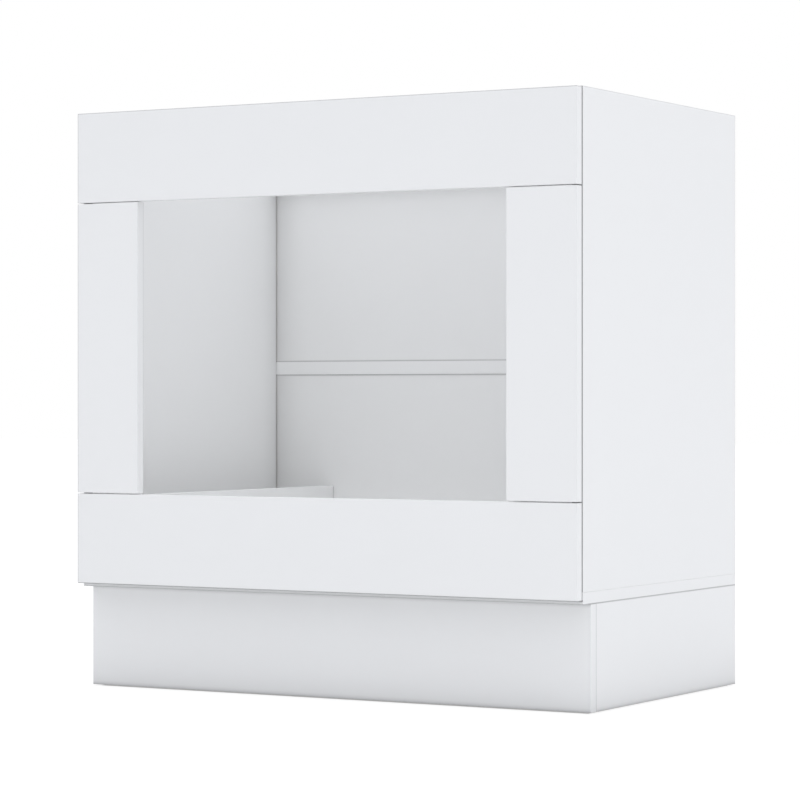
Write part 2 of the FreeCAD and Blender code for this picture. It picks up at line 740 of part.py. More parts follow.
def board(label, x, y, z):
    finished = drilled(label, rounded(label, blank_box(label, x, y, z)))
    finished.Label = label
    nodes.append(finished)


def both_ways(sign, near, far):
    return (f"layout.{near}", f"layout.{far}") if sign > 0 else (f"-layout.{far}", f"-layout.{near}")


def between(low, high):
    return (f"layout.{low}", f"layout.{high}")


def evenly(half):
    return (f"-layout.{half}", f"layout.{half}")


def make_carcass():
    deep = between("carcass_front", "carcass_rear")
    board("base_panel", evenly("half_width"), deep, ("sizes.plinth_height", "layout.base_top"))
    for side, sign in sides:
        board(f"{side}_side_panel", both_ways(sign, "inner_half", "half_width"), deep,
              ("layout.base_top", "sizes.unit_height"))
        board(f"{side}_oven_bearer", both_ways(sign, "bearer_inner", "opening_half"), deep,
              between("base_top", "lower_panel_top"))
    top = ("layout.rail_foot", "sizes.unit_height")
    board("front_top_rail", evenly("inner_half"), between("carcass_front", "front_rail_rear"), top)
    board("rear_top_rail", evenly("inner_half"), between("rear_rail_front", "carcass_rear"), top)


def make_fronts():
    deep = between("front_face", "front_rear")
    board("upper_front_panel", evenly("front_half"), deep, between("upper_panel_foot", "front_top"))
    board("lower_front_panel", evenly("front_half"), deep, between("front_foot", "lower_panel_top"))
    for side, sign in sides:
        board(f"{side}_front_filler", both_ways(sign, "opening_half", "front_half"), deep,
              between("filler_foot", "filler_top"))


def make_backs():
    deep = between("back_face", "back_rear")
    board("lower_back_panel", evenly("back_half"), deep, between("back_foot", "strip_low"))
    board("upper_back_panel", evenly("back_half"), deep, between("strip_high", "back_top"))
    # The strip is an H section: a web between the backs and a flange on each side of them.
    body = doc.addObject("PartDesign::Body", "back_joint_strip")
    low = "sizes.strip_centre - sizes.strip_face / 2"
    high = "sizes.strip_centre + sizes.strip_face / 2"
    padded(body, "YZ_Plane", [
        ("layout.carcass_rear", low),
        ("layout.back_face", low),
        ("layout.back_face", "layout.strip_low"),
        ("layout.back_rear", "layout.strip_low"),
        ("layout.back_rear", low),
        ("layout.rear_face", low),
        ("layout.rear_face", high),
        ("layout.back_rear", high),
        ("layout.back_rear", "layout.strip_high"),
        ("layout.back_face", "layout.strip_high"),
        ("layout.back_face", high),
        ("layout.carcass_rear", high),
    ], "2 * (layout.back_half - sizes.strip_inset)", True)
    nodes.append(body)


def make_plinth():
    tall = ("sizes.plinth_floor_gap", "sizes.plinth_height")
    board("plinth_front_board", evenly("half_width"), between("plinth_front", "plinth_front_rear"), tall)
    for side, sign in sides:
        board(f"plinth_{side}_board", both_ways(sign, "plinth_inner", "half_width"),
              between("plinth_front_rear", "carcass_rear"), tall)
    board("plinth_rear_board", evenly("plinth_inner"), between("plinth_rear_front", "carcass_rear"), tall)
    board("plinth_middle_board", evenly("plinth_middle"),
          between("plinth_front_rear", "plinth_rear_front"), tall)


def make_blocks():
    half = "layout.block_side / 2"
    for end, way in ends:
        for side, sign in sides:
            x = f"{sign} * layout.foot_x"
            y = f"layout.foot_{end}"
            label = f"{end}_{side}_block"
            box = blank_box(label, (f"{x} - {half}", f"{x} + {half}"), (f"{y} - {half}", f"{y} + {half}"),
                            ("layout.block_foot", "sizes.plinth_height"))
            block = drilled(label, box)
            block.Label = f"plinth_{label}"
            nodes.append(block)


def make_feet():
    for end, way in ends:
        for side, sign in sides:
            centre = Vector(sign * spot("foot_x"), spot(f"foot_{end}"), 0)
            place(f"{end}_{side}_foot_pad", foot_pad, centre, up, right)
            place(f"{end}_{side}_foot_screw", foot_screw, centre, up, right)


def make_groups():
    for label, shapes in groups.items():
        group = doc.addObject("Part::Feature", label)
        group.Shape = shapes[0] if len(shapes) == 1 else Part.makeCompound(shapes)
        group.Placement = FreeCAD.Placement() if len(shapes) > 1 else shapes[0].Placement
        nodes.append(group)


make_carcass()
make_fronts()
make_backs()
make_plinth()
make_blocks()
make_feet()
make_groups()
doc.recompute()

# Nothing is written unless every object is sound.
for item in doc.Objects:
    if "Invalid" in item.State or "Error" in item.State:
        raise RuntimeError(f"{item.Label} did not rebuild: {item.State}")
for node in nodes:
    if node.Shape.isNull() or not node.Shape.isValid():
        raise RuntimeError(f"{node.Label} has no sound shape")

os.makedirs("parts", exist_ok=True)
for node in nodes:
    node.Shape.exportStep(os.path.join("parts", f"{node.Label}.step"))
print(len(nodes), "nodes written")
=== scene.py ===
import bpy
import math
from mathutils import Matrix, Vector


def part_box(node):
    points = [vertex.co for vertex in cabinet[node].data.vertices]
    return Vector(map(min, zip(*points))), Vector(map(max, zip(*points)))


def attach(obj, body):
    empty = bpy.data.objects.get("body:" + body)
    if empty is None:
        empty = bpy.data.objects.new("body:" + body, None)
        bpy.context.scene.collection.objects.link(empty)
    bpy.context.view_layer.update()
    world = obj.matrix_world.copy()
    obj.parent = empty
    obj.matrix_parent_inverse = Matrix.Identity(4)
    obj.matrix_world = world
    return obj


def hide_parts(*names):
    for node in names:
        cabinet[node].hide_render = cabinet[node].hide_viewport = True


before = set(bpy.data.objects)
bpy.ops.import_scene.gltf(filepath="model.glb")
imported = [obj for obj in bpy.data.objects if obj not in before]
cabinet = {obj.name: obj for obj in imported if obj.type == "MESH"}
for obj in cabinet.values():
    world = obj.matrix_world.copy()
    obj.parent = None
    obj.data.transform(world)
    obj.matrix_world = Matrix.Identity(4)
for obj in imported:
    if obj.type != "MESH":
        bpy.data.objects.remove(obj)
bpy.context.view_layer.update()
print("frame loaded:", len(cabinet), "pieces")


class Wire:  # a socket that does sums: each operator adds a Math node

    def __init__(self, tree, socket):
        self.tree = tree
        self.socket = socket

    def math(self, operation, first, second=0.0):
        node = self.tree.nodes.new("ShaderNodeMath")
        node.operation = operation
        feed(self.tree, node.inputs[0], first)
        feed(self.tree, node.inputs[1], second)
        return Wire(self.tree, node.outputs[0])

    def __add__(self, other):
        return self.math("ADD", self, other)

    def __radd__(self, other):
        return self.math("ADD", other, self)

    def __sub__(self, other):
        return self.math("SUBTRACT", self, other)

    def __rsub__(self, other):
        return self.math("SUBTRACT", other, self)

    def __mul__(self, other):
        return self.math("MULTIPLY", self, other)

    def __rmul__(self, other):
        return self.math("MULTIPLY", other, self)

    def __truediv__(self, other):
        return self.math("DIVIDE", self, other)

    def __gt__(self, other):
        return self.math("GREATER_THAN", self, other)

    def __lt__(self, other):
        return self.math("LESS_THAN", self, other)

    def __abs__(self):
        return self.math("ABSOLUTE", self)

    def least(self, other):
        return self.math("MINIMUM", self, other)

    def most(self, other):
        return self.math("MAXIMUM", self, other)

    def held(self):  # kept between 0 and 1
        return self.most(0.0).least(1.0)

    def power(self, other):
        return self.math("POWER", self, other)

    def sine(self):
        return self.math("SINE", self)

    def root(self):
        return self.math("SQRT", self)

    def fraction(self):
        return self.math("FRACT", self)


def feed(tree, slot, value):  # links a wire to a socket, or sets a plain value on it
    if isinstance(value, Wire):
        tree.links.new(value.socket, slot)
    elif slot.type == "RGBA":
        slot.default_value = (*value, 1.0)
    else:
        slot.default_value = value


class Nodes:  # one node tree

    def __init__(self, tree):
        self.tree = tree

    def add(self, kind, settings=None, inputs=None, output=0):  # any node but Math
        node = self.tree.nodes.new(kind)
        for key, value in (settings or {}).items():
            if key == "stops":
                ramp = node.color_ramp
                while len(ramp.elements) < len(value):
                    ramp.elements.new(0.5)
                for stop, (at, colour) in zip(ramp.elements, value):
                    stop.position = at
                    stop.color = (*colour, 1.0)
            else:
                setattr(node, key, value)
        for key, value in (inputs or {}).items():
            feed(self.tree, node.inputs[key], value)
        return Wire(self.tree, node.outputs[output])

    def axes(self, vector):
        first = self.add("ShaderNodeSeparateXYZ", None, {0: vector})
        return [Wire(self.tree, socket) for socket in first.socket.node.outputs]

    def blend(self, factor, first, second, kind="MIX"):  # mixes two colours
        return self.add("ShaderNodeMix", {"data_type": "RGBA", "blend_type": kind}, {
            0: factor, 6: first, 7: second}, 2)

    def seen(self):  # 1 on rays that the camera sees, straight, in metal or through glass
        rays = [self.add("ShaderNodeLightPath", output=ray) for ray in (
            "Is Camera Ray", "Is Glossy Ray", "Is Transmission Ray")]
        return (rays[0] + rays[1] + rays[2]).held()


class Finish(Nodes):  # one material, with the wires that most patterns start from

    def __init__(self, name):
        self.material = bpy.data.materials.new(name)
        self.material.use_nodes = True
        super().__init__(self.material.node_tree)
        self.shader = self.tree.nodes["Principled BSDF"]
        self.place = self.add("ShaderNodeTexCoord", output="Object")
        self.normal = self.add("ShaderNodeTexCoord", output="Normal")

    def noise(self, scale, detail=2.0, rough=0.5, stretch=(1.0, 1.0, 1.0)):
        place = self.add("ShaderNodeMapping", None, {"Vector": self.place, "Scale": stretch})
        return self.add("ShaderNodeTexNoise", None, {
            "Vector": place, "Scale": scale, "Detail": detail, "Roughness": rough})

    def flakes(self, scale):  # one random level to each cell
        cells = self.add("ShaderNodeTexVoronoi", None, {"Vector": self.place, "Scale": scale}, "Color")
        return self.axes(cells)[0]

    def ramp(self, factor, stops):
        return self.add("ShaderNodeValToRGB", {"stops": stops}, {"Fac": factor})

    def toned(self, colour, tone):  # a colour times a varying brightness
        shade = self.add("ShaderNodeCombineColor", None, {"Red": tone, "Green": tone, "Blue": tone})
        return self.blend(1.0, colour, shade, "MULTIPLY")

    def bump(self, height, distance, strength):
        return self.add("ShaderNodeBump", None, {
            "Height": height, "Distance": distance, "Strength": strength})

    def wear(self, **inputs):  # joins values to the shader's own sockets
        for key, value in inputs.items():
            feed(self.tree, self.shader.inputs[key.replace("_", " ")], value)
        return self.material


def dress(node, material):
    for slot in cabinet[node].material_slots:
        slot.material = material


# White faced boards: a pearl-textured face, thin edge bands with a glue seam,
# and bare chipboard on the edges that have no band.
facedBoard = {
    "face": (0.912, 0.914, 0.910),
    "band": (0.904, 0.906, 0.903),
    "seam": (0.700, 0.690, 0.660),
    "seamShow": 0.30,
    "bandThick": 0.0009,
    "seamWide": 0.00010,
    "drilled": 0.00126,  # deeper than this is the wall of a drilled hole
    "arris": 0.0006,  # rounded edge, where the trimmed band shows grey
    "arrisFade": 0.0010,
    "arrisTone": 0.02,
    "jointShade": 0.38,  # painted shade on chosen arrises, in grooves where boards meet and along some outer edges
    "pearlScale": 1400.0,
    "pearlTone": 0.006,
    "pearlDeep": 0.12,
    "cloudScale": 7.0,
    "cloudTone": 0.012,
    "smearScale": 28.0,
    "rough": 0.40,
    "roughSmear": 0.10,
    "bandShine": 0.08,
    "bumpDeep": 0.0006,
    "bumpShow": 0.35,
    "bend": 1.48,
    "chipScale": 520.0,
    "chipCoreScale": 260.0,
    "chipFlakeScale": 416.0,
    "chipCoreReach": 1.35,
    "chipRough": 0.86,
    "chipDark": (0.235, 0.150, 0.082),
    "chipMid": (0.470, 0.340, 0.205),
    "chipLight": (0.690, 0.545, 0.365),
}
shadeLine = {  # painted shade lines: reach and tone
    "frontFoot": (0.0028, 0.85),
    "plinthFootShade": (0.0070, 0.34),
    "plinthTop": (0.0070, 0.40),
    "wallRear": (0.0500, 0.12),
}


def chipboard(finish, across, half):  # across: distance from the middle of the thickness
    look = facedBoard
    fine = finish.noise(look["chipScale"], 3.0, 0.65)
    coarse = finish.noise(look["chipCoreScale"], 2.0, 0.6, (1.0, 1.0, 1.7))
    core = (1.0 - across / half * look["chipCoreReach"]).held()
    grain = fine + core * (coarse - fine)
    flake = finish.flakes(look["chipFlakeScale"])
    tone = (grain * 0.75 + flake * 0.25 - 0.25) / 0.5
    colour = finish.ramp(tone, [
        (0.30, look["chipDark"]), (0.52, look["chipMid"]), (0.85, look["chipLight"])])
    return colour, grain


def turned(facing):  # 1 on the faces that look one way
    return ((facing - 0.75) / 0.1).held()


def whiteBoard(node, thin, bare=(), arrisShade=None, gapShade=None, lines=()):  # thin: axis of the thickness
    look = facedBoard
    finish = Finish(node + "_finish")
    low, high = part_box(node)
    place = finish.axes(finish.place)
    facing = finish.axes(finish.normal)
    rims = [(place[axis] - low[axis]).least(high[axis] - place[axis]) for axis in range(3)]
    flat = [axis for axis in range(3) if axis != thin]
    edge = rims[flat[0]].least(rims[flat[1]])

    cloud = finish.noise(look["cloudScale"], 3.0, 0.55)
    smear = finish.noise(look["smearScale"], 4.0, 0.7, (1.0, 1.0, 0.35))
    pearl = finish.noise(look["pearlScale"], 1.0, 0.5)
    band = edge < look["bandThick"]
    seam = (1.0 - abs(edge - look["bandThick"]) / look["seamWide"]).held()
    tone = 0.991 + cloud * look["cloudTone"] + pearl * look["pearlTone"]
    white = finish.toned(finish.blend(band, look["face"], look["band"]), tone)
    white = finish.blend(seam * look["seamShow"], white, look["seam"])
    corner = rims[0].least(rims[1]).most(rims[0].most(rims[1]).least(rims[2]))  # second nearest face
    trimmed = (1.0 - (corner - look["arris"]) / look["arrisFade"]).held()
    grey = trimmed * trimmed * look["arrisTone"]
    # painted shade: the arrises listed in met get darker, in grooves and along some outer edges
    for (axis, sign), depth in (arrisShade or {}).items():
        side = high[axis] - place[axis] if sign > 0 else place[axis] - low[axis]
        near = (1.0 - (side - look["arris"]) / look["arrisFade"]).held()
        grey = grey.most(trimmed * near * look["jointShade"] * depth)
    # painted shade on the edge faces listed in hidden, which sit in the gap behind the fronts
    for (axis, sign), depth in (gapShade or {}).items():
        grey = grey.most(turned(facing[axis] * sign) * depth)
    # painted shade lines: bands darker along a face where shade falls
    for (axis, sign), across, at, (reach, depth) in lines:
        near = (1.0 - abs(place[across] - at) / reach).held()
        grey = grey.most(turned(facing[axis] * sign) * near * near * depth)
    white = finish.toned(white, 1.0 - grey)
    rough = look["rough"] + smear * look["roughSmear"] - band * look["bandShine"]

    raw = rims[0].least(rims[1]).least(rims[2]) > look["drilled"]
    for axis, sign in bare:
        raw = raw.most(turned(facing[axis] * sign))
    middle = (low[thin] + high[thin]) / 2
    half = (high[thin] - low[thin]) / 2
    chip, chipHeight = chipboard(finish, abs(place[thin] - middle), half)
    pearlHeight = pearl * look["pearlDeep"]
    height = pearlHeight + raw * (chipHeight - pearlHeight)
    return finish.wear(
        Base_Color=finish.blend(raw, white, chip),
        Roughness=rough + raw * (look["chipRough"] - rough),
        Normal=finish.bump(height, look["bumpDeep"], look["bumpShow"]),
        IOR=look["bend"],
    )


alongX, alongY, alongZ = 0, 1, 2
front, rear, under, over = (alongY, -1), (alongY, 1), (alongZ, -1), (alongZ, 1)
leftward, rightward = (alongX, -1), (alongX, 1)
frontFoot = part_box("lower_front_panel")[0].z
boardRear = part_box("left_side_panel")[1].y
plinthLow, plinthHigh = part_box("plinth_front_board")


def plinthFootShade(face):  # painted shade, darker towards the foot of a plinth board
    return (face, alongZ, plinthLow.z, shadeLine["plinthFootShade"])


boards = {  # bare: edges with no band; met: arrises in painted shade; hidden: gap faces in painted shade; lines: painted shade
    "base_panel": dict(thin=alongZ, bare=(rear,), arrisShade={under: 1.2}, gapShade={front: 0.10},
                       lines=((front, alongZ, frontFoot, shadeLine["frontFoot"]),)),
    "left_side_panel": dict(thin=alongX, bare=(rear,), arrisShade={rear: 1.2, over: 0.6}, gapShade={front: 0.42},
                            lines=((rightward, alongY, boardRear, shadeLine["wallRear"]),)),
    "right_side_panel": dict(thin=alongX, bare=(rear,), arrisShade={rear: 1.2, over: 0.6}, gapShade={front: 0.42},
                             lines=((leftward, alongY, boardRear, shadeLine["wallRear"]),)),
    "left_oven_bearer": dict(thin=alongX, bare=(under,)),
    "right_oven_bearer": dict(thin=alongX, bare=(under,)),
    "front_top_rail": dict(thin=alongY),
    "rear_top_rail": dict(thin=alongY),
    "upper_front_panel": dict(thin=alongY, arrisShade={rear: 1.15, over: 1.0, leftward: 1.3}),
    "lower_front_panel": dict(thin=alongY, arrisShade={rear: 1.15, under: 1.5, leftward: 1.3}),
    "left_front_filler": dict(thin=alongY, arrisShade={rear: 1.15, leftward: 1.3}),
    "right_front_filler": dict(thin=alongY, arrisShade={rear: 1.15}),
    "plinth_front_board": dict(thin=alongY, bare=(under,), arrisShade={over: 1.0, rear: 0.7},
                               lines=(plinthFootShade(front),
                                      (front, alongZ, plinthHigh.z, shadeLine["plinthTop"]))),
    "plinth_left_board": dict(thin=alongX, bare=(rear, under), arrisShade={over: 0.8, front: 0.6},
                              lines=(plinthFootShade(leftward),)),
    "plinth_right_board": dict(thin=alongX, bare=(rear, under), arrisShade={over: 0.8, front: 0.6},
                               lines=(plinthFootShade(rightward),)),
    "plinth_rear_board": dict(thin=alongY, bare=(under,), arrisShade={over: 1.0}),
    "plinth_middle_board": dict(thin=alongX, bare=(under,), arrisShade={over: 1.0}),
}
for node, board in boards.items():
    dress(node, whiteBoard(node, **board))
print("boards dressed:", len(boards))


# Hardboard back: white lacquer inside, bare brown fibre with a pressed mesh outside.
hardboard = {
    "lacquer": (0.905, 0.906, 0.900),
    "dark": (0.150, 0.085, 0.045),
    "brown": (0.300, 0.185, 0.105),
    "pale": (0.430, 0.290, 0.175),
    "fibreScale": 420.0,
    "meshScale": 2600.0,
    "patchScale": 16.0,
    "orangeScale": 1100.0,  # orange peel of the lacquer
    "cornerShade": 0.17,  # painted shade towards the side walls and beside the strip
    "cornerReach": 0.060,
    "stripShade": 0.52,
    "lineReach": 0.0026,
    "rough": 0.36,
    "roughPatch": 0.08,
    "roughOutside": 0.42,
    "bumpDeep": 0.0005,
    "bumpShow": 0.35,
    "bend": 1.48,
}


def hardboardBack():
    look = hardboard
    finish = Finish("hardboard_back")
    x, y, z = finish.axes(finish.place)
    outside = ((finish.axes(finish.normal)[alongY] + 0.6) / 0.2).held()
    fibre = finish.noise(look["fibreScale"], 5.0, 0.7, (0.4, 1.0, 1.0))
    patch = finish.noise(look["patchScale"], 3.0)
    weave = (x * look["meshScale"]).sine() * (z * look["meshScale"]).sine()
    brown = finish.ramp(fibre * 0.75 + patch * 0.25, [
        (0.32, look["dark"]), (0.50, look["brown"]), (0.70, look["pale"])])
    orange = finish.noise(look["orangeScale"], 1.0)
    white = finish.toned(look["lacquer"], 0.992 + patch * 0.010 + orange * 0.006)
    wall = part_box("right_side_panel")[0].x
    stripLow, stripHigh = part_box("back_joint_strip")
    # painted shade: the back darkens towards the side walls and in thin lines beside the strip
    fromWall = (1.0 - (wall - abs(x)) / look["cornerReach"]).held()
    middle = (stripLow.z + stripHigh.z) / 2
    fromStrip = (1.0 - (abs(z - middle) - (stripHigh.z - middle)) / look["lineReach"]).held()
    dustAndShade = (fromWall * fromWall * look["cornerShade"]).most(fromStrip * look["stripShade"])
    white = finish.toned(white, 1.0 - dustAndShade * (0.8 + patch * 0.4))
    height = orange * 0.15 + outside * (fibre * 0.5 + weave * 0.35)
    return finish.wear(
        Base_Color=finish.blend(outside, white, brown),
        Roughness=look["rough"] + patch * look["roughPatch"] + outside * look["roughOutside"],
        Normal=finish.bump(height, look["bumpDeep"], look["bumpShow"]),
        IOR=look["bend"],
    )


backFinish = hardboardBack()
for node in ("upper_back_panel", "lower_back_panel"):
    dress(node, backFinish)


# Extruded plastic strip: satin white with faint draw lines along its length.
jointStrip = {
    "white": (0.912, 0.914, 0.910),
    "lineScale": 900.0,
    "hazeScale": 22.0,
    "rough": 0.30,
    "roughHaze": 0.10,
    "bumpDeep": 0.0003,
    "bumpShow": 0.25,
    "bend": 1.46,
}


def extrudedStrip():
    look = jointStrip
    finish = Finish("extruded_strip")
    lines = finish.noise(look["lineScale"], 2.0, 0.5, (0.004, 1.0, 1.0))
    haze = finish.noise(look["hazeScale"], 3.0)
    return finish.wear(
        Base_Color=finish.toned(look["white"], 0.990 + lines * 0.010 + haze * 0.008),
        Roughness=look["rough"] + haze * look["roughHaze"],
        Normal=finish.bump(lines, look["bumpDeep"], look["bumpShow"]),
        IOR=look["bend"],
    )


dress("back_joint_strip", extrudedStrip())
print("back dressed")


# Zinc plate: bright, with a soft crystal bloom and small rubbed marks.
zincPlate = {
    "bright": (0.720, 0.735, 0.755),
    "bloom": (0.590, 0.605, 0.640),
    "crystalScale": 240.0,
    "cloudScale": 130.0,
    "rubScale": 900.0,
    "rough": 0.24,
    "roughCloud": 0.16,
    "roughRub": 0.12,
    "bumpDeep": 0.0002,
    "bumpShow": 0.25,
}


def zincSteel():
    look = zincPlate
    finish = Finish("zinc_steel")
    crystal = finish.flakes(look["crystalScale"])
    cloud = finish.noise(look["cloudScale"], 4.0, 0.6)
    rub = finish.noise(look["rubScale"], 3.0, 0.6, (1.0, 0.25, 1.0))
    bloom = (crystal * 0.5 + cloud * 0.7 - 0.25).held()
    return finish.wear(
        Base_Color=finish.blend(bloom, look["bright"], look["bloom"]),
        Metallic=1.0,
        Roughness=look["rough"] + cloud * look["roughCloud"] + rub * look["roughRub"],
        Normal=finish.bump(rub + cloud, look["bumpDeep"], look["bumpShow"]),
    )


steel = zincSteel()
steelEndings = ("_screws", "_nails", "_brackets", "_bolts", "_cams", "_inserts")
for node in cabinet:
    if node.endswith(steelEndings):
        dress(node, steel)


# Bare wood: pine corner blocks with the grain upright, and plain dowels.
bareWood = {
    "early": (0.730, 0.560, 0.360),
    "late": (0.500, 0.320, 0.165),
    "rings": 260.0,  # to a metre
    "wander": 0.012,
    "wanderScale": 14.0,
    "fibreScale": 900.0,
    "heart": (1.6, 1.9),  # where the trunk's middle was, in block widths from the far face
    "dowel": (0.640, 0.470, 0.300),
    "dowelScale": 60.0,
    "fleckScale": 700.0,
}


def pineBlock(node):
    look = bareWood
    finish = Finish(node + "_finish")
    low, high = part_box(node)
    x, y, z = finish.axes(finish.place)
    heartX, heartY = look["heart"]
    acrossX = x - (low.x * heartX - high.x * (heartX - 1))
    acrossY = y - (low.y * heartY - high.y * (heartY - 1))
    wander = finish.noise(look["wanderScale"], 3.0, 0.5, (1.0, 1.0, 0.12))
    ring = (acrossX * acrossX + acrossY * acrossY).root()
    growth = ((ring + wander * look["wander"]) * look["rings"]).fraction()
    fibre = finish.noise(look["fibreScale"], 3.0, 0.6, (1.0, 1.0, 0.03))
    late = (growth * growth * 0.75 + fibre * 0.3 - 0.1).held()
    return finish.wear(
        Base_Color=finish.blend(late, look["early"], look["late"]),
        Roughness=0.62 + fibre * 0.2,
        Normal=finish.bump(fibre + growth * 0.3, 0.0004, 0.4),
    )


def dowelWood():
    look = bareWood
    finish = Finish("dowel_wood")
    fleck = finish.noise(look["fleckScale"], 3.0, 0.6)
    tone = finish.noise(look["dowelScale"], 3.0)
    return finish.wear(
        Base_Color=finish.toned(look["dowel"], 0.78 + tone * 0.3 + fleck * 0.16),
        Roughness=0.58 + fleck * 0.2,
        Normal=finish.bump(fleck, 0.0003, 0.4),
    )


dowels = dowelWood()
for node in cabinet:
    if node.endswith("_block"):
        dress(node, pineBlock(node))
    elif node.endswith("_dowels"):
        dress(node, dowels)


# Levelling feet: a rolled thread above a hexagon collar, in a moulded pad with a grip round its rim.
footScrew = {
    "pitch": 0.00125,
    "root": 0.0033,
    "crest": 0.00405,  # before the blank trims it
    "tooth": ((0, 0.15), (1, 0.29), (0, 0.12), (-1, 0.29), (0, 0.15)),  # out in rises, up in pitches
    "blank": 0.0040,
    "sides": 48,
    "steps": 24,  # to a turn of the thread
    "spareTurns": 4,  # cut off at both ends
    "tip": 0.0010,  # chamfer of the upper end
    "flats": 0.0130,
    "collarHeight": 0.0045,
    "collarSoft": 0.0005,
    "aboveSocket": 0.0040,  # collar above the lower end
    "endSoft": 0.0012,
    "merge": 1e-5,
    "smooth": 35.0,  # degrees
}
footPad = {
    "rings": (  # radius and height of each ring, from the floor up and into the socket
        (0.0155, 0.0), (0.0170, 0.0015), (0.0170, 0.0035), (0.0155, 0.0050), (0.0090, 0.0080),
        (0.0043, 0.0080), (0.0043, 0.0040)),
    "sides": 96,
    "gripWide": 2,  # faces to a notch, and between notches
    "gripDeep": 0.0007,
    "soft": 0.00025,
    "sharp": 40.0,  # degrees; flatter edges stay as they are
    "plastic": (0.030, 0.031, 0.034),
    "dustAndShade": (0.160, 0.155, 0.145),
    "dustTop": 0.0035,
    "dustFade": 260.0,
    "dustShow": 0.45,
    "grainScale": 2200.0,
    "scuffScale": 180.0,
}


def pickFaces(piece, wanted):  # selects the faces whose centre and normal pass a test
    bpy.ops.mesh.select_mode(type="FACE")
    bpy.ops.mesh.select_all(action="DESELECT")
    bpy.ops.object.mode_set(mode="OBJECT")
    for face in piece.data.polygons:
        face.select = bool(wanted(face.center, face.normal))
    bpy.ops.object.mode_set(mode="EDIT")


def applyAll(piece):
    bpy.context.view_layer.objects.active = piece
    for modifier in list(piece.modifiers):
        bpy.ops.object.modifier_apply(modifier=modifier.name)


def combine(piece, other, operation):  # the other piece is used up
    joined = piece.modifiers.new("combine", "BOOLEAN")
    joined.operation = operation
    joined.solver = "EXACT"
    joined.object = other
    applyAll(piece)
    bpy.data.objects.remove(other)


def turnedBar(radius, low, high, sides, soft, segments, ends):  # ends: which ends are softened
    bpy.ops.object.select_all(action="DESELECT")
    bpy.ops.mesh.primitive_cylinder_add(
        vertices=sides, radius=radius, depth=high - low, location=(0, 0, (low + high) / 2))
    bar = bpy.context.object
    bpy.ops.object.transform_apply(location=True)
    bpy.ops.object.mode_set(mode="EDIT")
    pickFaces(bar, lambda centre, normal: round(normal.z) in ends)
    bpy.ops.mesh.region_to_loop()
    bpy.ops.mesh.bevel(offset=soft, segments=segments, affect="EDGES")
    bpy.ops.object.mode_set(mode="OBJECT")
    return bar


def rolledThread(low, high):
    look = footScrew
    pitch = look["pitch"]
    rise = look["crest"] - look["root"]
    spare = look["spareTurns"]
    bpy.ops.object.select_all(action="DESELECT")
    bpy.ops.mesh.primitive_plane_add(size=pitch, location=(0, 0, 0))
    thread = bpy.context.object
    bpy.ops.object.mode_set(mode="EDIT")
    bpy.ops.mesh.select_mode(type="VERT")
    bpy.ops.mesh.merge(type="CENTER")
    bpy.ops.transform.translate(value=(look["root"], 0, low - spare / 2 * pitch))
    for out, climb in look["tooth"]:
        bpy.ops.mesh.extrude_vertices_move(
            TRANSFORM_OT_translate={"value": (out * rise, 0, climb * pitch)})
    bpy.ops.object.mode_set(mode="OBJECT")
    turn = thread.modifiers.new("turn", "SCREW")
    turn.axis = "Z"
    turn.screw_offset = pitch
    turn.iterations = int((high - low) / pitch) + spare
    turn.steps = look["steps"]
    turn.render_steps = look["steps"]
    applyAll(thread)
    bpy.ops.object.mode_set(mode="EDIT")
    bpy.ops.mesh.select_all(action="SELECT")
    bpy.ops.mesh.remove_doubles(threshold=look["merge"])
    for height, away in ((low, 1), (high, -1)):
        bpy.ops.mesh.select_all(action="SELECT")
        bpy.ops.mesh.bisect(
            plane_co=(0, 0, height), plane_no=(0, 0, away), use_fill=True, clear_inner=True, threshold=1e-7)
    bpy.ops.mesh.select_all(action="SELECT")
    bpy.ops.mesh.normals_make_consistent(inside=False)
    bpy.ops.object.mode_set(mode="OBJECT")
    return thread


def levellingScrew(low, high):
    look = footScrew
    sides = look["sides"]
    collarLow = low + look["aboveSocket"]
    collarHigh = collarLow + look["collarHeight"]
    within = (collarLow + collarHigh) / 2  # the bars meet inside the collar
    corner = look["flats"] / 2 / math.cos(math.radians(30.0))
    screw = rolledThread(within, high + look["pitch"])
    combine(screw, turnedBar(look["blank"], collarLow, high, sides, look["tip"], 1, (1,)), "INTERSECT")
    combine(screw, turnedBar(corner, collarLow, collarHigh, 6, look["collarSoft"], 2, (1, -1)), "UNION")
    combine(screw, turnedBar(look["blank"], low, within, sides, look["endSoft"], 4, (-1,)), "UNION")
    return screw


def flutedPad():
    look = footPad
    rings = look["rings"]
    bpy.ops.object.select_all(action="DESELECT")
    bpy.ops.mesh.primitive_circle_add(
        vertices=look["sides"], radius=rings[0][0], fill_type="NGON", location=(0, 0, 0))
    pad = bpy.context.object
    bpy.ops.object.mode_set(mode="EDIT")
    bpy.ops.mesh.select_all(action="SELECT")
    for (radius, height), (nextRadius, nextHeight) in zip(rings, rings[1:]):
        bpy.ops.mesh.extrude_region_move(TRANSFORM_OT_translate={"value": (0, 0, nextHeight - height)})
        grow = nextRadius / radius
        bpy.ops.transform.resize(value=(grow, grow, 1), center_override=(0, 0, nextHeight))
    bpy.ops.mesh.select_all(action="SELECT")
    bpy.ops.mesh.normals_make_consistent(inside=False)
    notch = 2 * math.pi / look["sides"] * look["gripWide"]
    pickFaces(pad, lambda centre, normal: (
        abs(normal.z) < 0.1 and math.hypot(centre.x, centre.y) > rings[0][0]
        and int((math.atan2(centre.y, centre.x) + math.pi) / notch) % 2))
    bpy.ops.mesh.extrude_region_shrink_fatten(TRANSFORM_OT_shrink_fatten={"value": -look["gripDeep"]})
    bpy.ops.object.mode_set(mode="OBJECT")
    soft = pad.modifiers.new("soft", "BEVEL")
    soft.width = look["soft"]
    soft.segments = 2
    soft.limit_method = "ANGLE"
    soft.angle_limit = math.radians(look["sharp"])
    applyAll(pad)
    return pad


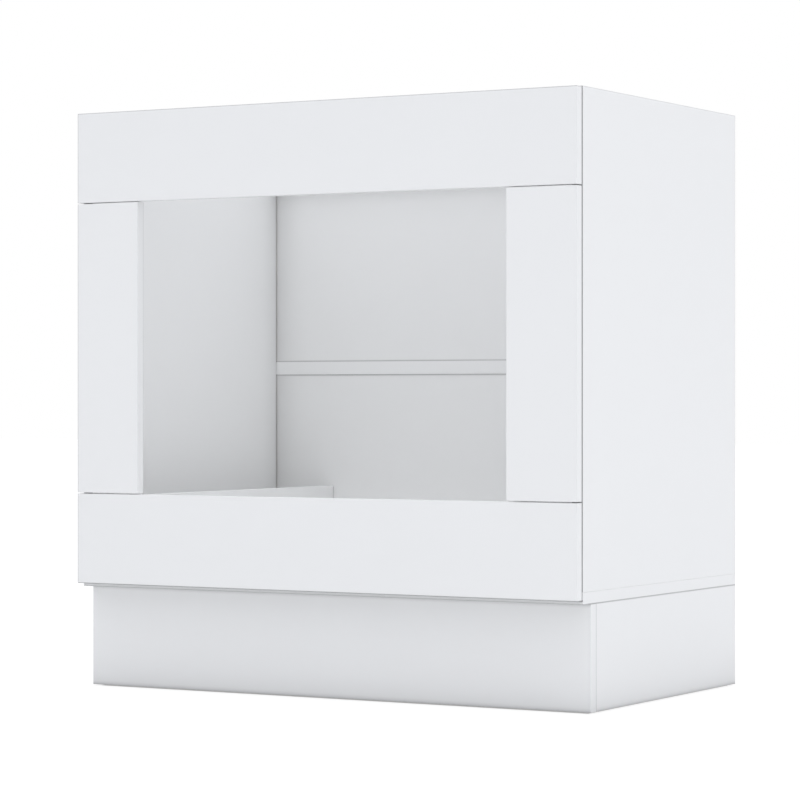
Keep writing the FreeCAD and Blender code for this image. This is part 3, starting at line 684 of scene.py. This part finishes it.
def mouldedPlastic():  # spark-eroded grain, dusty near the floor
    look = footPad
    finish = Finish("moulded_plastic")
    grain = finish.noise(look["grainScale"], 2.0, 0.6)
    scuff = finish.noise(look["scuffScale"], 4.0, 0.65)
    height = finish.axes(finish.place)[alongZ]
    dustAndShade = ((look["dustTop"] - height) * look["dustFade"] + scuff - 0.5).held() * look["dustShow"]
    return finish.wear(
        Base_Color=finish.blend(dustAndShade, look["plastic"], look["dustAndShade"]),
        Roughness=0.52 + grain * 0.16 + dustAndShade * 0.2,
        Normal=finish.bump(grain, 0.0003, 0.5),
    )


def fitFoot(model, name, node, body, finish):  # a copy of a model on the Z axis, in a node's place
    low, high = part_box(node)
    piece = bpy.data.objects.new(name, model.data.copy())
    bpy.context.scene.collection.objects.link(piece)
    bpy.ops.object.select_all(action="DESELECT")
    piece.select_set(True)
    bpy.context.view_layer.objects.active = piece
    piece.location = ((low.x + high.x) / 2, (low.y + high.y) / 2, 0)
    bpy.ops.object.transform_apply(location=True)
    bpy.ops.object.shade_smooth_by_angle(angle=math.radians(footScrew["smooth"]))
    piece.data.materials.clear()
    piece.data.materials.append(finish)
    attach(piece, body)
    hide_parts(node)


feet = [node[:-len("_foot_pad")] for node in cabinet if node.endswith("_foot_pad")]
screwLow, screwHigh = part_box(feet[0] + "_foot_screw")
screwModel = levellingScrew(screwLow.z, screwHigh.z)
padModel = flutedPad()
plastic = mouldedPlastic()
for foot in feet:
    fitFoot(screwModel, foot + "_threaded_screw", foot + "_foot_screw", foot + "_screw", steel)
    fitFoot(padModel, foot + "_fluted_pad", foot + "_foot_pad", foot + "_pad", plastic)
bpy.data.objects.remove(screwModel)
bpy.data.objects.remove(padModel)
print("fittings dressed, feet modelled:", len(feet))


# Studio: a pale floor that reads as white, with painted shade round and under the plinth, one soft light
# and a bright room.
studio = {
    "floorSize": 40.0,
    "floorTone": 0.80,
    "shadeRingTone": 0.30,  # painted dark ring round the plinth, seen only by bounce light, that shades its foot
    "shadeRingReach": 0.09,
    "floorShow": 0.16,  # share of the floor's own shading that the camera sees
    "floorGlow": 0.88,
    "underGlow": 0.42,  # glow below the plinth, lowered as a painted shadow under its foot
    "underEdge": -0.008,
    "skyTint": (0.985, 1.0, 1.040),
    "skySeen": (1.0, 1.0, 1.0),
    "skyRight": 0.314,
    "skyFront": 0.283,
    "skyFrontNarrow": 3.0,
    "skyTop": 1.55,
    "softPlace": (3.8, -4.0, 1.3),
    "softAim": (0.0, 0.0, 0.4),
    "softSize": 3.0,
    "softPower": 15.8,
}


def laidFloor():
    look = studio
    bpy.ops.object.select_all(action="DESELECT")
    bpy.ops.mesh.primitive_plane_add(size=look["floorSize"], location=(0, 0, 0))
    floor = bpy.context.object
    floor.name = "studio_floor"
    paint = Finish("studio_floor")
    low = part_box("plinth_left_board")[0].x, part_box("plinth_front_board")[0].y
    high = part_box("plinth_right_board")[1].x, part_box("plinth_rear_board")[1].y
    x, y, z = paint.axes(paint.place)
    away = (low[0] - x).most(x - high[0]).most(low[1] - y).most(y - high[1])  # distance from the plinth
    # painted shade: a dark ring on the floor, hidden from the camera, darkens the plinth's foot
    near = (1.0 - away / look["shadeRingReach"]).held()
    tone = look["floorTone"] - near * near * (look["floorTone"] - look["shadeRingTone"])
    bounce = paint.add("ShaderNodeBsdfDiffuse", None, {"Color": tone})
    shade = paint.add("ShaderNodeBsdfDiffuse", None, {"Color": (look["floorShow"],) * 3})
    # painted shadow: the floor glows less below the plinth
    below = away < look["underEdge"]
    strength = look["floorGlow"] - below * (look["floorGlow"] - look["underGlow"])
    glow = paint.add("ShaderNodeEmission", None, {"Strength": strength})
    white = paint.add("ShaderNodeAddShader", None, {0: shade, 1: glow})
    both = paint.add("ShaderNodeMixShader", None, {0: paint.seen(), 1: bounce, 2: white})
    feed(paint.tree, paint.tree.nodes["Material Output"].inputs["Surface"], both)
    floor.data.materials.append(paint.material)


def litRoom():
    look = studio
    world = bpy.data.worlds.new("studio_room")
    bpy.context.scene.world = world
    world.use_nodes = True
    room = Nodes(world.node_tree)
    sky = room.tree.nodes["Background"]
    x, y, z = room.axes(room.add("ShaderNodeTexCoord", output="Generated"))
    seen = room.seen()
    ahead = (0.0 - y).most(0.0).power(look["skyFrontNarrow"])
    light = x.most(0.0) * look["skyRight"] + ahead * look["skyFront"] + z.most(0.0) * look["skyTop"]
    feed(room.tree, sky.inputs["Strength"], light + seen * (1.0 - light))
    feed(room.tree, sky.inputs["Color"], room.blend(seen, look["skyTint"], look["skySeen"]))


def softLight():
    look = studio
    lamp = bpy.data.lights.new("soft_box", "AREA")
    lamp.shape = "SQUARE"
    lamp.size = look["softSize"]
    lamp.energy = look["softPower"]
    box = bpy.data.objects.new("soft_box", lamp)
    bpy.context.scene.collection.objects.link(box)
    box.location = look["softPlace"]
    box.rotation_euler = (Vector(look["softAim"]) - box.location).to_track_quat("-Z", "Y").to_euler()


laidFloor()
litRoom()
softLight()


# Camera: level, to the right of the front.
view = {
    "place": (2.1670, -3.7691, 0.4167),
    "turn": 30.06,  # degrees from the front
    "lens": 136.06,
    "sensor": 36.0,
    "lift": -0.0044,  # shift that puts the horizon on its row of the picture
    "reach": 100.0,
}


def setCamera():
    camera = bpy.data.cameras.new("view")
    camera.lens = view["lens"]
    camera.sensor_width = view["sensor"]
    camera.shift_y = view["lift"]
    camera.clip_end = view["reach"]
    rig = bpy.data.objects.new("view", camera)
    bpy.context.scene.collection.objects.link(rig)
    rig.location = view["place"]
    rig.rotation_euler = (math.radians(90.0), 0.0, math.radians(view["turn"]))
    bpy.context.scene.camera = rig


setCamera()
bpy.context.scene.view_settings.view_transform = "Standard"
print("studio and camera set")
